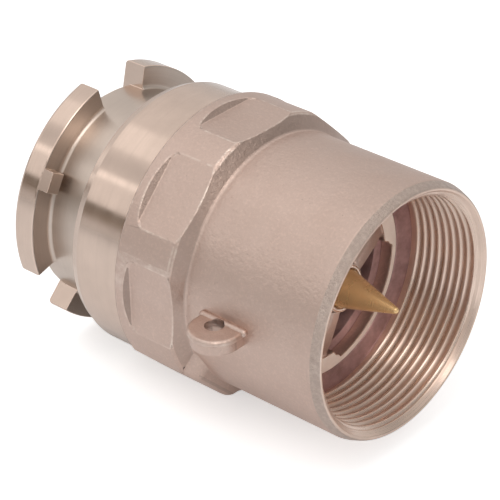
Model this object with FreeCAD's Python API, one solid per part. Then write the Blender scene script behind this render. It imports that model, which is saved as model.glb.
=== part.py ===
import FreeCAD, Part
import math
import os

# Dry break coupling, tank side: a cast body with a 3 inch pipe thread, a
# screwed-in bayonet nose and a spring-loaded poppet on a guided stem.
# Millimetres. The axis lies along X. The origin is the centre of the pipe
# thread's mouth, +X points out of the mouth, the nose points along -X, +Z is
# up. Depths are measured from the mouth towards the nose, so x = -depth.

# Cast body, outside
length = 143.4
barrel_r = 48.0
barrel_length = 59.8
rim_r = 46.4
rim_rounding = 3.5
shoulder_length = 4.1
band_r = 53.8
band_length = 24.5
flat_count = 8
flat_depth = 2.1
flat_end_gap = 3.7
flat_end_slope = 1.1
flat_corner_r = 4.0

# Chain ear on the body's side
ear_top = 4.35
ear_thickness = 4.45
ear_depth = 41.4
ear_r = 9.8
ear_reach = 14.4
ear_hole_r = 3.75
ear_hole_shift = 0.9
ear_hole_offset = 3.85
ear_rounding = 1.6

# Ground gate pad left from casting
pad_angle = -135.6
pad_grinding = 1.6
pad_half_width = 13.7
pad_length = 33.9
pad_slope = 3.6
pad_corner_r = 5.0

# Cast body, inside
thread_root_r = 44.5
thread_length = 31.0
relief_length = 2.6
guide_ring_outer_r = 36.7
guide_ring_length = 5.0
lip_width = 6.7
lip_thickness = 5.0
joint_r = 45.0
joint_step = 4.0
joint_length = 18.0

# Bayonet nose
collar_r = 51.0
collar_length = 21.6
collar_chamfer = 1.3
collar_chamfer_length = 3.4
neck_r = 41.6
neck_wall = 5.4
neck_fillet = 5.0
flange_r = 50.2
flange_thickness = 9.7
segment_count = 3
segment_span = 92.0
segment_angle = -60.0
nose_step = 0.3
nose_edge_chamfer = 2.8
nose_edge_length = 3.9
block_width = 7.8
block_length = 6.2
block_height = 6.0
seat_width = 4.7
seat_thickness = 4.2
spigot_wall = 6.0
fit_gap = 0.05

# O-ring between nose and body
body_ring_wire = 1.6
body_ring_setback = 6.0

# Stem guide: ring, three arms with pads, hub
guide_ring_width = 2.8
arm_count = 3
arm_angle = 71.0
pad_span = 40.0
guide_pad_reach = 4.1
guide_notch = 1.5
guide_notch_span = 5.0
arm_root_width = 19.0
arm_hub_width = 8.5
arm_thickness = 6.0
hub_reach = 6.6
hub_length = 25.0
hub_wall = 1.45
hub_back_wall = 3.1

# Stem with its conical tip, and its bush
stem_r = 7.05
stem_gap = 0.6
cone_length = 22.6
tip_r = 1.3
running_clearance = 0.05
bush_wall = 2.3
bush_setback = 8.0
clip_thickness = 1.2
clip_depth = 0.8

# Spring and its seats
stroke = 20.0
spring_gap = 1.85
spring_wire_r = 1.7
spring_turns = 7.0
spring_seat_thickness = 2.0
spring_seat_rim = 1.8
sleeve_wall = 2.4
seat_gap = 0.1

# Poppet
poppet_length = 17.9
poppet_hub_wall = 5.5
poppet_gap = 1.8
poppet_edge = 4.0
seal_thickness = 3.2
seal_width = 10.4
plate_gap = 0.5
face_recess = 0.6
screw_count = 6
screw_circle_r = 19.5
screw_r = 2.0
screw_head_r = 4.0
screw_length = 9.0
stem_end_r = 5.0
nut_across = 16.0
nut_height = 5.0
nut_setback = 1.5
washer_width = 4.0
washer_thickness = 1.2
ring_wire = 1.0

# Depths from the mouth, and radii that follow from the sizes above
band_start = barrel_length + shoulder_length
band_end = band_start + band_length
flat_distance = band_r - flat_depth
flat_end = band_end - flat_end_gap - flat_depth * flat_end_slope
pad_height = band_r - pad_grinding
pad_start = band_end - pad_length
guide_front = thread_length + relief_length
guide_seat = guide_front + guide_ring_length
lip_end = guide_seat + lip_thickness
lip_r = guide_ring_outer_r - lip_width
joint_start = band_end - joint_length
chamber_r = joint_r - joint_step
collar_end = band_end + collar_length
neck_start = collar_end + collar_chamfer_length
flange_start = length - flange_thickness
nose_root_r = neck_r - nose_step
nose_bore_r = neck_r - neck_wall
seat_r = nose_bore_r - seat_width
seat_depth = length - seat_thickness
spigot_r = joint_r - fit_gap
guide_ring_inner_r = guide_ring_outer_r - guide_ring_width
guide_pad_inner_r = guide_ring_inner_r - guide_pad_reach
hub_front = guide_front - hub_reach
hub_back = hub_front + hub_length
hub_mouth_r = stem_r + stem_gap
hub_r = hub_mouth_r + hub_wall
bush_r = stem_r + running_clearance + bush_wall
bush_front = hub_front + bush_setback
hub_back_r = bush_r + hub_back_wall
clip_start = hub_back - 2 * clip_thickness
clip_r = bush_r + clip_depth
cone_base = hub_front - stem_gap
cone_tip = cone_base - cone_length
sleeve_r = stem_r + sleeve_wall
spring_r = sleeve_r + spring_gap + spring_wire_r
spring_seat_r = spring_r + spring_wire_r + spring_seat_rim
seal_front = seat_depth - seat_gap
poppet_front = seal_front - seal_thickness
poppet_start = poppet_front - poppet_length
poppet_r = nose_bore_r - poppet_gap
seal_inner_r = poppet_r - seal_width
plate_r = seat_r - plate_gap
plate_face = length - face_recess
washer_r = stem_end_r + washer_width
nut_end = poppet_front - nut_setback
nut_start = nut_end - nut_height
recess_start = nut_start - washer_thickness
recess_r = washer_r + 1.2

AXIS = FreeCAD.Vector(1, 0, 0)
ORIGIN = FreeCAD.Vector(0, 0, 0)


def turned(profile):
    """Solid of revolution about X from (depth, radius) points."""
    points = [FreeCAD.Vector(-depth, 0, radius) for depth, radius in profile]
    face = Part.Face(Part.makePolygon(points + points[:1]))
    return face.revolve(ORIGIN, AXIS, 360)


def rod(start, end, radius):
    """Round bar along X between two depths."""
    return Part.makeCylinder(radius, end - start, FreeCAD.Vector(-start, 0, 0), -AXIS)


def tube(start, end, inner_r, outer_r):
    """Round tube along X between two depths."""
    return rod(start, end, outer_r).cut(rod(start - 1, end + 1, inner_r))


def turn(shape, angle):
    """Copy of a shape turned about the axis; 0 is up, 90 is +Y."""
    copy = shape.copy()
    copy.rotate(ORIGIN, AXIS, -angle)
    return copy


def around(shape, count, first):
    """Copies of a shape made for the top, spaced evenly round the axis."""
    return [turn(shape, first + index * 360.0 / count) for index in range(count)]


def block(start, end, half_width, low, high):
    """Box at the top of the part, between two depths and two heights."""
    corner = FreeCAD.Vector(-end, -half_width, low)
    return Part.makeBox(end - start, 2 * half_width, high - low, corner)


def wedge(start, end, span, radius):
    """Sector of a disc centred on the top, used to cut segments."""
    face_points = [FreeCAD.Vector(-start, 0, 0)]
    steps = 8
    for index in range(steps + 1):
        angle = math.radians(-span / 2 + span * index / steps)
        y = radius * math.sin(angle)
        z = radius * math.cos(angle)
        face_points.append(FreeCAD.Vector(-start, y, z))
    face = Part.Face(Part.makePolygon(face_points + face_points[:1]))
    return face.extrude(FreeCAD.Vector(start - end, 0, 0))


def ring(depth, mid_r, wire_r):
    """O-ring round the axis."""
    return Part.makeTorus(mid_r, wire_r, FreeCAD.Vector(-depth, 0, 0), AXIS)


def edges_near(shape, test):
    """Edges whose middle point passes a test."""
    found = []
    for edge in shape.Edges:
        middle = edge.valueAt((edge.FirstParameter + edge.LastParameter) / 2)
        if test(middle):
            found.append(edge)
    return found


def make_flat_cutter():
    """Wedge above one wrench flat: a sloped, round-cornered end wall."""
    half = math.sqrt(band_r ** 2 - flat_distance ** 2) + 0.3
    rise = band_r + 1 - flat_distance
    foot = [
        FreeCAD.Vector(-barrel_length + 1, -half, flat_distance),
        FreeCAD.Vector(-flat_end, -half, flat_distance),
        FreeCAD.Vector(-flat_end, half, flat_distance),
        FreeCAD.Vector(-barrel_length + 1, half, flat_distance),
    ]
    lean = rise * flat_end_slope
    head = [
        FreeCAD.Vector(-barrel_length + 1, -half - lean, flat_distance + rise),
        FreeCAD.Vector(-flat_end - lean, -half - lean, flat_distance + rise),
        FreeCAD.Vector(-flat_end - lean, half + lean, flat_distance + rise),
        FreeCAD.Vector(-barrel_length + 1, half + lean, flat_distance + rise),
    ]
    loops = [Part.makePolygon(points + points[:1]) for points in (foot, head)]
    cutter = Part.makeLoft(loops, True, True)
    far = edges_near(cutter, lambda p: p.x < -flat_end and abs(p.y) > half - 0.1
                     and flat_distance + 0.1 < p.z < flat_distance + rise - 0.1)
    return cutter.makeFillet(flat_corner_r, far)


def make_ear():
    """Chain ear: a level plate with a round outer end, drilled through."""
    centre_y = -(barrel_r + ear_reach - ear_r)
    low = ear_top - ear_thickness
    end = Part.makeCylinder(ear_r, ear_thickness, FreeCAD.Vector(-ear_depth, centre_y, low))
    root_y = -(barrel_r - 3)
    corner = FreeCAD.Vector(-ear_depth - ear_r, centre_y, low)
    root = Part.makeBox(2 * ear_r, root_y - centre_y, ear_thickness, corner)
    plate = end.fuse(root).removeSplitter()
    rim = edges_near(plate, lambda p: p.y < centre_y - 1 and abs(p.z - ear_top) < 0.01
                     or p.y < centre_y - 1 and abs(p.z - low) < 0.01)
    return plate.makeFillet(min(ear_rounding, ear_thickness * 0.4), rim)


def make_gate_pad():
    """Casting pad along the barrel, running out in a sloped round end."""
    top = block(pad_start, band_end, pad_half_width, barrel_r - 4, pad_height)
    edges = edges_near(top, lambda p: abs(p.x + pad_start) < 0.01 and abs(p.y) > pad_half_width - 0.1)
    top = top.makeFillet(pad_corner_r, edges)
    ramp_foot = pad_start - pad_slope
    ramp = [
        FreeCAD.Vector(-ramp_foot, 0, barrel_r - 4),
        FreeCAD.Vector(-ramp_foot, 0, barrel_r - 0.6),
        FreeCAD.Vector(-pad_start, 0, pad_height),
        FreeCAD.Vector(-pad_start - pad_corner_r, 0, pad_height),
        FreeCAD.Vector(-pad_start - pad_corner_r, 0, barrel_r - 4),
    ]
    face = Part.Face(Part.makePolygon(ramp + ramp[:1]))
    narrow = pad_half_width - pad_corner_r + 1
    face.translate(FreeCAD.Vector(0, -narrow, 0))
    return top.fuse(face.extrude(FreeCAD.Vector(0, 2 * narrow, 0)))


def make_body():
    """Cast body with the pipe thread's bore, wrench flats, ear and pad."""
    guide_bore_r = guide_ring_outer_r + fit_gap
    steep = chamber_r - lip_r
    outline = [
        (rim_rounding * 0.3, rim_r + (barrel_r - rim_r) * 0.55),
        (rim_rounding, barrel_r),
        (barrel_length, barrel_r),
        (band_start, band_r),
        (band_end, band_r),
        (band_end, joint_r),
        (joint_start, joint_r),
        (joint_start, chamber_r),
        (lip_end + steep * 0.6, chamber_r),
        (lip_end, lip_r),
        (guide_seat, lip_r),
        (guide_seat, guide_bore_r),
        (guide_front, guide_bore_r),
        (thread_length, thread_root_r),
        (0, thread_root_r),
        (0, rim_r),
    ]
    body = turned(outline)
    for cutter in around(make_flat_cutter(), flat_count, 0):
        body = body.cut(cutter)
    pad = turn(make_gate_pad(), pad_angle)
    ground = turn(block(barrel_length, band_end + 1, pad_half_width, pad_height, band_r + 2), pad_angle)
    hollow = rod(-1, guide_front, thread_root_r).fuse(rod(guide_front, band_end + 1, joint_r))
    body = body.cut(ground).fuse(pad.cut(hollow))
    ear = make_ear()
    hole_y = -(barrel_r + ear_hole_offset)
    hole_base = FreeCAD.Vector(-ear_depth - ear_hole_shift, hole_y, ear_top - 3 * ear_thickness)
    hole = Part.makeCylinder(ear_hole_r, 5 * ear_thickness, hole_base)
    return body.fuse(ear).cut(hole).removeSplitter()


def make_nose():
    """Machined nose: collar, neck, bayonet segments, stop blocks, seat."""
    spigot_start = joint_start + seat_gap
    spigot_inner_r = joint_r - spigot_wall
    groove_start = band_end - body_ring_setback
    groove_end = groove_start + 2 * body_ring_wire + 0.4
    groove_r = spigot_r - 2 * body_ring_wire
    flange_core = [
        (spigot_start, spigot_inner_r),
        (spigot_start, spigot_r),
        (groove_start, spigot_r),
        (groove_start, groove_r),
        (groove_end, groove_r),
        (groove_end, spigot_r),
        (band_end, spigot_r),
        (band_end, collar_r),
        (collar_end, collar_r),
        (collar_end + collar_chamfer_length, collar_r - collar_chamfer),
        (neck_start, neck_r),
        (length - nose_edge_length, nose_root_r),
        (length, nose_root_r - nose_edge_chamfer),
        (length, seat_r),
        (seat_depth, seat_r),
        (seat_depth, nose_bore_r),
        (neck_start, nose_bore_r),
        (neck_start - 6, spigot_inner_r),
    ]
    nose = turned(flange_core)
    inner = nose_root_r - nose_edge_chamfer - nose_step
    segment = tube(flange_start, length, inner, flange_r)
    segment = segment.common(wedge(flange_start, length, segment_span, flange_r + 10))
    for piece in around(segment, segment_count, segment_angle):
        nose = nose.fuse(piece)
    fillet_profile = [
        (flange_start, neck_r - 1),
        (flange_start - neck_fillet, neck_r - 1),
        (flange_start - neck_fillet, neck_r),
    ]
    steps = 6
    for index in range(1, steps + 1):
        angle = math.pi / 2 * index / steps
        depth = flange_start - neck_fillet + neck_fillet * math.sin(angle)
        radius = neck_r + neck_fillet * (1 - math.cos(angle))
        fillet_profile.append((depth, radius))
    fillet = turned(fillet_profile)
    fillet = fillet.common(wedge(flange_start - neck_fillet, flange_start, segment_span, flange_r + 10))
    for piece in around(fillet, segment_count, segment_angle):
        nose = nose.fuse(piece)
    block_inner_r = flange_r - block_height
    stop = block(flange_start - block_length, flange_start + 1, block_width / 2, block_inner_r, flange_r + 1)
    stop = stop.common(rod(flange_start - block_length, flange_start + 1, flange_r))
    for piece in around(stop, segment_count, segment_angle):
        nose = nose.fuse(piece)
    return nose.removeSplitter()


def make_guide():
    """Stem guide: flat ring, three arms with pads, and a bored hub."""
    front = guide_front
    guide = tube(front, guide_seat, guide_ring_inner_r, guide_ring_outer_r)
    pad = tube(front, guide_seat, guide_pad_inner_r, guide_ring_inner_r + 1)
    pad = pad.common(wedge(front, guide_seat, pad_span, guide_ring_outer_r + 5))
    inner_pad = tube(front - 1, guide_seat + 1, 0.1, guide_pad_inner_r + guide_notch)
    kept = wedge(front - 1, guide_seat + 1, pad_span - 2 * guide_notch_span, guide_ring_outer_r)
    pad = pad.cut(inner_pad.cut(kept))
    for piece in around(pad, arm_count, arm_angle):
        guide = guide.fuse(piece)
    arm_points = [
        (front + 0.2, guide_pad_inner_r + 2),
        (guide_seat, guide_pad_inner_r + 2),
        (guide_seat, guide_pad_inner_r - 5),
        (hub_front + 4 + arm_thickness + 1, hub_r - 0.5),
        (hub_front + 3, hub_r - 0.5),
        (hub_front + 4, hub_r + 5),
        (front + 0.2, guide_pad_inner_r - 2),
    ]
    points = [FreeCAD.Vector(-depth, -arm_root_width, radius) for depth, radius in arm_points]
    face = Part.Face(Part.makePolygon(points + points[:1]))
    arm = face.extrude(FreeCAD.Vector(0, 2 * arm_root_width, 0))
    plan = [
        FreeCAD.Vector(0, -arm_root_width / 2, guide_ring_inner_r),
        FreeCAD.Vector(0, arm_root_width / 2, guide_ring_inner_r),
        FreeCAD.Vector(0, arm_hub_width / 2, 0),
        FreeCAD.Vector(0, -arm_hub_width / 2, 0),
    ]
    taper = Part.Face(Part.makePolygon(plan + plan[:1])).extrude(FreeCAD.Vector(-length, 0, 0))
    arm = arm.common(taper)
    for piece in around(arm, arm_count, arm_angle):
        guide = guide.fuse(piece)
    hub = turned([
        (hub_front, hub_mouth_r),
        (hub_front, hub_r - 0.6),
        (hub_front + 0.6, hub_r),
        (bush_front - 2, hub_r + 1.4),
        (bush_front + 3, hub_back_r),
        (hub_back, hub_back_r),
        (hub_back, bush_r),
        (clip_start + clip_thickness, bush_r),
        (clip_start + clip_thickness, clip_r),
        (clip_start, clip_r),
        (clip_start, bush_r),
        (bush_front, bush_r),
        (bush_front, hub_mouth_r),
    ])
    core = rod(hub_front - 1, bush_front, hub_mouth_r).fuse(rod(bush_front, hub_back, bush_r))
    return guide.cut(core).fuse(hub).removeSplitter()


def make_bush():
    """Plain bush that carries the stem in the guide's hub."""
    bore_r = stem_r + running_clearance
    return tube(bush_front, clip_start, bore_r, bush_r)


def make_clip():
    """Open retaining ring behind the bush."""
    end = clip_start + clip_thickness
    clip = tube(clip_start, end, sleeve_r - 1.5, clip_r)
    return clip.cut(block(clip_start - 1, end + 1, 2.5, 0, clip_r + 1))


def make_front_seat():
    """Dished washer between the hub and the spring."""
    start = hub_back
    inner = sleeve_r + stem_gap
    return turned([
        (start, inner),
        (start, spring_seat_r - 1),
        (start + 1, spring_seat_r),
        (start + spring_seat_thickness + 1, spring_seat_r),
        (start + spring_seat_thickness + 1, spring_seat_r - 1.2),
        (start + spring_seat_thickness, spring_seat_r - 1.2),
        (start + spring_seat_thickness, inner),
    ])


def make_spring():
    """Helical spring with flat closed ends, as a swept round wire."""
    start = hub_back + spring_seat_thickness + spring_wire_r
    end = poppet_start - spring_seat_thickness - spring_wire_r
    height = end - start
    helix = Part.makeHelix(height / spring_turns, height, spring_r)
    helix.rotate(ORIGIN, FreeCAD.Vector(0, 1, 0), -90)
    helix.translate(FreeCAD.Vector(-start, 0, 0))
    first = helix.Edges[0]
    point = first.valueAt(first.FirstParameter)
    tangent = first.tangentAt(first.FirstParameter)
    circle = Part.Wire(Part.makeCircle(spring_wire_r, point, tangent))
    coil = Part.Wire(helix.Edges).makePipeShell([circle], True, True)
    closed = [ring(depth, spring_r, spring_wire_r) for depth in (start, end)]
    return coil.fuse(closed[0]).fuse(closed[1])


def make_rear_seat():
    """Washer between the spring and the poppet's hub."""
    start = poppet_start - spring_seat_thickness
    inner = stem_r + running_clearance
    return tube(start, poppet_start, inner, spring_seat_r)


def make_sleeve():
    """Stop sleeve on the stem: it meets the hub when the poppet is open."""
    start = hub_back + stroke + seat_gap
    end = poppet_start - spring_seat_thickness
    inner = stem_r + running_clearance
    return tube(start, end, inner, sleeve_r)


def make_stem():
    """Stem with a conical tip and a stepped, threaded far end."""
    tip_centre = cone_tip + tip_r
    end = poppet_front - nut_setback / 2
    profile = [(cone_tip, 0)]
    steps = 5
    for index in range(1, steps + 1):
        angle = math.radians(75) * index / steps
        profile.append((tip_centre - tip_r * math.cos(angle), tip_r * math.sin(angle)))
    profile += [
        (cone_base, stem_r),
        (poppet_start, stem_r),
        (poppet_start, stem_end_r),
        (end, stem_end_r),
        (end, 0),
    ]
    return turned(profile)


def make_poppet():
    """Poppet: hub, dished disc, ring groove and nut recess."""
    front = poppet_front
    hub_r_here = stem_end_r + poppet_hub_wall
    poppet = turned([
        (poppet_start, stem_end_r + running_clearance),
        (poppet_start, hub_r_here),
        (front - 10, hub_r_here + 2),
        (front - poppet_edge - 1.5, poppet_r - 8),
        (front - poppet_edge, poppet_r),
        (front, poppet_r),
        (front, recess_r),
        (recess_start, recess_r),
        (recess_start, stem_end_r + running_clearance),
    ])
    holes = around(screw_hole(front - screw_length, front + 1), screw_count, 0)
    for hole in holes:
        poppet = poppet.cut(hole)
    groove_r = stem_end_r + 2 * ring_wire
    groove = tube(poppet_start - 1, poppet_start + 2 * ring_wire, stem_end_r, groove_r)
    return poppet.cut(groove)


def screw_hole(start, end):
    """Hole for one retainer screw, at the top of the screw circle."""
    hole = rod(start, end, screw_r + running_clearance)
    hole.translate(FreeCAD.Vector(0, 0, screw_circle_r))
    return hole


def make_stem_ring():
    """O-ring that seals the stem's end in the poppet."""
    return ring(poppet_start + ring_wire, stem_end_r + ring_wire, ring_wire - 0.04)


def make_lock_washer():
    """Split washer under the stem nut."""
    washer = tube(recess_start, nut_start, stem_end_r + 0.3, washer_r)
    return washer.cut(block(recess_start - 1, nut_start + 1, 0.6, 0, washer_r + 1))


def make_nut():
    """Hexagon nut that holds the poppet on the stem."""
    corner_r = nut_across / math.sqrt(3)
    points = []
    for index in range(6):
        angle = math.radians(60 * index)
        y = corner_r * math.sin(angle)
        z = corner_r * math.cos(angle)
        points.append(FreeCAD.Vector(-nut_start, y, z))
    face = Part.Face(Part.makePolygon(points + points[:1]))
    nut = face.extrude(FreeCAD.Vector(-nut_height, 0, 0))
    nut = nut.cut(rod(nut_start - 1, nut_end + 1, stem_end_r + 0.03))
    chamfer = turned([
        (nut_start, 0),
        (nut_start, nut_across / 2),
        (nut_start + 0.6, corner_r),
        (nut_end - 0.6, corner_r),
        (nut_end, nut_across / 2),
        (nut_end, 0),
    ])
    return nut.common(chamfer)


def make_seal():
    """Flat elastomer ring that closes on the nose's seat."""
    front = poppet_front
    lip = 0.5
    return turned([
        (front, seal_inner_r),
        (front, poppet_r - lip),
        (front + lip, poppet_r),
        (seal_front, poppet_r),
        (seal_front, seal_inner_r),
    ])


def make_retainer():
    """Front plate that clamps the seal; its face closes the nose."""
    front = poppet_front
    face = plate_face
    plate = turned([
        (front, recess_r),
        (front, seal_inner_r - 0.05),
        (seal_front, seal_inner_r - 0.05),
        (seal_front, plate_r),
        (face - 0.8, plate_r),
        (face, plate_r - 0.8),
        (face, 0),
        (front + 1, 0),
        (front + 1, recess_r),
    ])
    drop = screw_head_r - screw_r
    head = turned([
        (front - 1, 0),
        (front - 1, screw_r + running_clearance),
        (face - drop, screw_r + running_clearance),
        (face, screw_head_r),
        (face + 1, screw_head_r),
        (face + 1, 0),
    ])
    head.translate(FreeCAD.Vector(0, 0, screw_circle_r))
    for hole in around(head, screw_count, 0):
        plate = plate.cut(hole)
    return plate


def make_screws():
    """Countersunk screws with hexagon sockets, as separate solids."""
    face = plate_face
    drop = screw_head_r - screw_r
    screw = turned([
        (poppet_front - screw_length + 0.5, 0),
        (poppet_front - screw_length + 0.5, screw_r),
        (face - drop, screw_r),
        (face - 0.1, screw_head_r - 0.1),
        (face - 0.1, 0),
    ])
    points = []
    for index in range(6):
        angle = math.radians(60 * index)
        points.append(FreeCAD.Vector(-face - 1, 1.25 * math.sin(angle), 1.25 * math.cos(angle)))
    socket = Part.Face(Part.makePolygon(points + points[:1])).extrude(FreeCAD.Vector(2.6, 0, 0))
    screw = screw.cut(socket)
    screw.translate(FreeCAD.Vector(0, 0, screw_circle_r))
    return Part.makeCompound(around(screw, screw_count, 0))


def make_body_ring():
    """O-ring in the spigot's groove."""
    depth = band_end - body_ring_setback + body_ring_wire + 0.2
    return ring(depth, spigot_r - body_ring_wire, body_ring_wire - 0.1)


PARTS = {
    "body_casting": make_body,
    "bayonet_nose": make_nose,
    "body_o_ring": make_body_ring,
    "stem_guide": make_guide,
    "guide_bush": make_bush,
    "bush_clip": make_clip,
    "front_spring_seat": make_front_seat,
    "main_spring": make_spring,
    "rear_spring_seat": make_rear_seat,
    "stop_sleeve": make_sleeve,
    "stem": make_stem,
    "stem_o_ring": make_stem_ring,
    "poppet": make_poppet,
    "lock_washer": make_lock_washer,
    "stem_nut": make_nut,
    "poppet_seal": make_seal,
    "seal_retainer": make_retainer,
    "retainer_screws": make_screws,
}

os.makedirs("parts", exist_ok=True)
for name, make in PARTS.items():
    shape = make()
    shape.exportStep("parts/" + name + ".step")
    print(name, len(shape.Solids), round(shape.Volume / 1000, 2), shape.isValid())
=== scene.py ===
"""Looks of a dry break coupling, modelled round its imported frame.

The coupling lies along X. The pipe thread's mouth is at the origin and opens
towards +X, the bayonet nose points along -X, and +Z is up. Depths are measured
from the mouth towards the nose, so x = -depth. Angles round the axis start at
the top and grow towards +Y, away from the camera.
"""

import math

import bpy
from bpy.props import FloatProperty, FloatVectorProperty, IntProperty, PointerProperty
from mathutils import Matrix, Vector


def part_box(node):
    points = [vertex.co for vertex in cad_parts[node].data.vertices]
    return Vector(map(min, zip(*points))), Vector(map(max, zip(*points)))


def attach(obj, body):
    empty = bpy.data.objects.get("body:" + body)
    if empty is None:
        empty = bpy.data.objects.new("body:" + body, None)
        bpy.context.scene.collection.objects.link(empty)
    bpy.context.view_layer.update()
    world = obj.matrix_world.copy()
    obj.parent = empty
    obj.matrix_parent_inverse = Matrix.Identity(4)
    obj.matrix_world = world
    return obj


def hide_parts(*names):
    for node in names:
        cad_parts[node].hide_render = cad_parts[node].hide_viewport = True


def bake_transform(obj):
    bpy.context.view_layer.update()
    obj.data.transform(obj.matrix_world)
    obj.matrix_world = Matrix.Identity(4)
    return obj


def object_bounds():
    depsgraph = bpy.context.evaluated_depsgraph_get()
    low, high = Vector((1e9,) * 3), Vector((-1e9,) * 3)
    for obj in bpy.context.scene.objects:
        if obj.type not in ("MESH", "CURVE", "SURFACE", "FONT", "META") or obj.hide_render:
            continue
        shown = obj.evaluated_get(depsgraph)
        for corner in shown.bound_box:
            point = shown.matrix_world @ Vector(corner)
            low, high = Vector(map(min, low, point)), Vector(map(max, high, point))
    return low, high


bl_info = {
    "name": "Dry break coupling",
    "version": (1, 0, 0),
    "blender": (4, 5, 0),
    "location": "View3D > Sidebar > Coupling",
    "description": "Models and finishes a dry break coupling round its frame",
    "category": "Add Mesh",
}

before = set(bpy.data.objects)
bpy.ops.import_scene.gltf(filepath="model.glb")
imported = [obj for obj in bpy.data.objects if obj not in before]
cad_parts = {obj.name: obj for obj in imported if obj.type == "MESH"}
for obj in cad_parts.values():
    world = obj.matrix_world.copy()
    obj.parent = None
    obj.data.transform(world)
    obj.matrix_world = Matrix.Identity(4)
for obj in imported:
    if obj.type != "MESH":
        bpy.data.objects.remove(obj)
CAD_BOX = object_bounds()

MM = 0.001
AXIS = (1, 0, 0)
ALONG_AXIS = (0, math.pi / 2, 0)
BODY = "body"
POPPET = "poppet"


def node_end(node, side):
    """Depth in millimetres of a node's end: side 0 is nearest the nose, 1 nearest the mouth."""
    return -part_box(node)[side].x / MM


BODY_LENGTH = node_end("body_casting", 0)
NOSE_LENGTH = node_end("bayonet_nose", 0)
STEM_TIP = node_end("stem", 1)
PLATE_FACE = node_end("seal_retainer", 0)
GUIDE_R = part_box("stem_guide")[1].z / MM
GUIDE_SEAT = 38.6
GUIDE_THICKNESS = 5.0


def size(name, default, description):
    """A length property in metres, given in millimetres."""
    return FloatProperty(name=name, default=default * MM, subtype="DISTANCE", unit="LENGTH",
                         description=description, precision=5)


def colour(name, default, description):
    """A colour property in linear light."""
    return FloatVectorProperty(name=name, default=default, subtype="COLOR", size=3, min=0, max=1,
                               description=description)


class CouplingSizes(bpy.types.PropertyGroup):
    """Sizes of the coupling that a user would change."""

    barrel_r: size("Barrel radius", 48.0, "Outer radius of the cast barrel")
    band_r: size("Band radius", 53.8, "Outer radius of the wrench section")
    flat_distance: size("Flat distance", 51.7, "Distance of a wrench flat from the axis")
    rim_r: size("Rim radius", 46.4, "Outer radius of the mouth's flat face")
    thread_root_r: size("Thread root radius", 44.5, "Radius at the bottom of the pipe thread")
    thread_crest_r: size("Thread crest radius", 42.5, "Radius at the top of the pipe thread")
    thread_pitch: size("Thread pitch", 3.175, "Eight threads to the inch")
    thread_length: size("Thread length", 31.0, "Depth of the threaded stretch")
    collar_r: size("Collar radius", 51.0, "Outer radius of the machined collar")
    neck_r: size("Neck radius", 41.6, "Radius of the groove behind the flange")
    flange_r: size("Flange radius", 50.2, "Outer radius of the bayonet flange")
    flange_thickness: size("Flange thickness", 9.7, "Thickness of the bayonet flange")
    stem_r: size("Stem radius", 7.05, "Radius of the brass stem")
    steps: IntProperty(name="Steps", default=180, min=24, max=360,
                       description="Facets round the axis of a turned shape")


class CouplingColours(bpy.types.PropertyGroup):
    """Colours of the finishes, in linear light."""

    cast: colour("Casting", (0.67, 0.52, 0.455), "Blasted cast steel")
    cast_dark: colour("Casting, dark", (0.58, 0.445, 0.385), "Cast steel in its hollows")
    # Bright colour of the casting's edges: partly rubbed wear and partly painted highlight
    rubbed_and_highlight: colour("Rubbed edges", (0.95, 0.83, 0.74), "Edges of the casting, rubbed bright")
    worn: colour("Worn rim", (0.6, 0.54, 0.49), "Greyer steel of the worn rim")
    turned: colour("Turned steel", (0.73, 0.58, 0.495), "Bright turned steel")
    # Darker than turned steel: painted shade in the groove behind the flange
    neck: colour("Nose groove", (0.64, 0.545, 0.48), "Steel of the groove behind the flange")
    guide: colour("Stem guide", (0.77, 0.61, 0.52), "Faced cast steel")
    # Dark brownish colour that paints the shade deep in the bore and on the pieces seen inside it
    bore: colour("Bore", (0.4, 0.24, 0.225), "Steel in the depth of the bore")
    brass: colour("Brass", (0.97, 0.66, 0.33), "Satin turned brass")
    wire: colour("Spring wire", (0.4, 0.37, 0.34), "Drawn wire")
    bush: colour("Bush", (0.03, 0.025, 0.022), "Filled plastic")
    rubber: colour("Seals", (0.015, 0.014, 0.014), "Black elastomer")
    floor: colour("Floor", (0.93, 0.93, 0.93), "Plain pale floor")


def sizes():
    return bpy.context.scene.coupling_sizes


def colours():
    return bpy.context.scene.coupling_colours


# Modelling. Lengths are in millimetres unless a name or a docstring says metres.


def edit_mode():
    bpy.ops.object.mode_set(mode="EDIT")


def object_mode():
    bpy.ops.object.mode_set(mode="OBJECT")


def select_all():
    bpy.ops.mesh.select_all(action="SELECT")


def weld(metres=1e-6):
    """Merges the edited mesh's points that lie together."""
    select_all()
    bpy.ops.mesh.remove_doubles(threshold=metres)


def face_outwards():
    select_all()
    bpy.ops.mesh.normals_make_consistent(inside=False)


def begin():
    """Object mode with nothing selected."""
    if bpy.context.object and bpy.context.object.mode != "OBJECT":
        object_mode()
    bpy.ops.object.select_all(action="DESELECT")


def only(piece):
    """Makes one object the only selected and active one."""
    begin()
    piece.select_set(True)
    bpy.context.view_layer.objects.active = piece


def edit(piece):
    only(piece)
    edit_mode()


def settle(piece):
    """Puts a piece's place into its mesh, with its object at the origin."""
    only(piece)
    bpy.ops.object.transform_apply(location=True, rotation=True, scale=True)
    return piece


def modify(piece, kind, **settings):
    """Adds a modifier with its settings and applies it."""
    modifier = piece.modifiers.new(kind.lower(), kind)
    for key, value in settings.items():
        setattr(modifier, key, value)
    only(piece)
    bpy.ops.object.modifier_apply(modifier=modifier.name)
    return piece


def deselect(kind):
    """Edit mode's selection emptied, and object mode to make a new one."""
    bpy.ops.mesh.select_mode(type=kind)
    bpy.ops.mesh.select_all(action="DESELECT")
    object_mode()


def pick_vertices(piece, test):
    """Selects, in edit mode, the vertices whose place passes a test."""
    deselect("VERT")
    for vertex in piece.data.vertices:
        vertex.select = test(vertex.co / MM)
    edit_mode()


def pick_edges(piece, test):
    """Selects, in edit mode, the edges whose two ends pass a test."""
    deselect("EDGE")
    points = piece.data.vertices
    for edge in piece.data.edges:
        edge.select = test(*(points[index].co / MM for index in edge.vertices))
    edit_mode()


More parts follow.
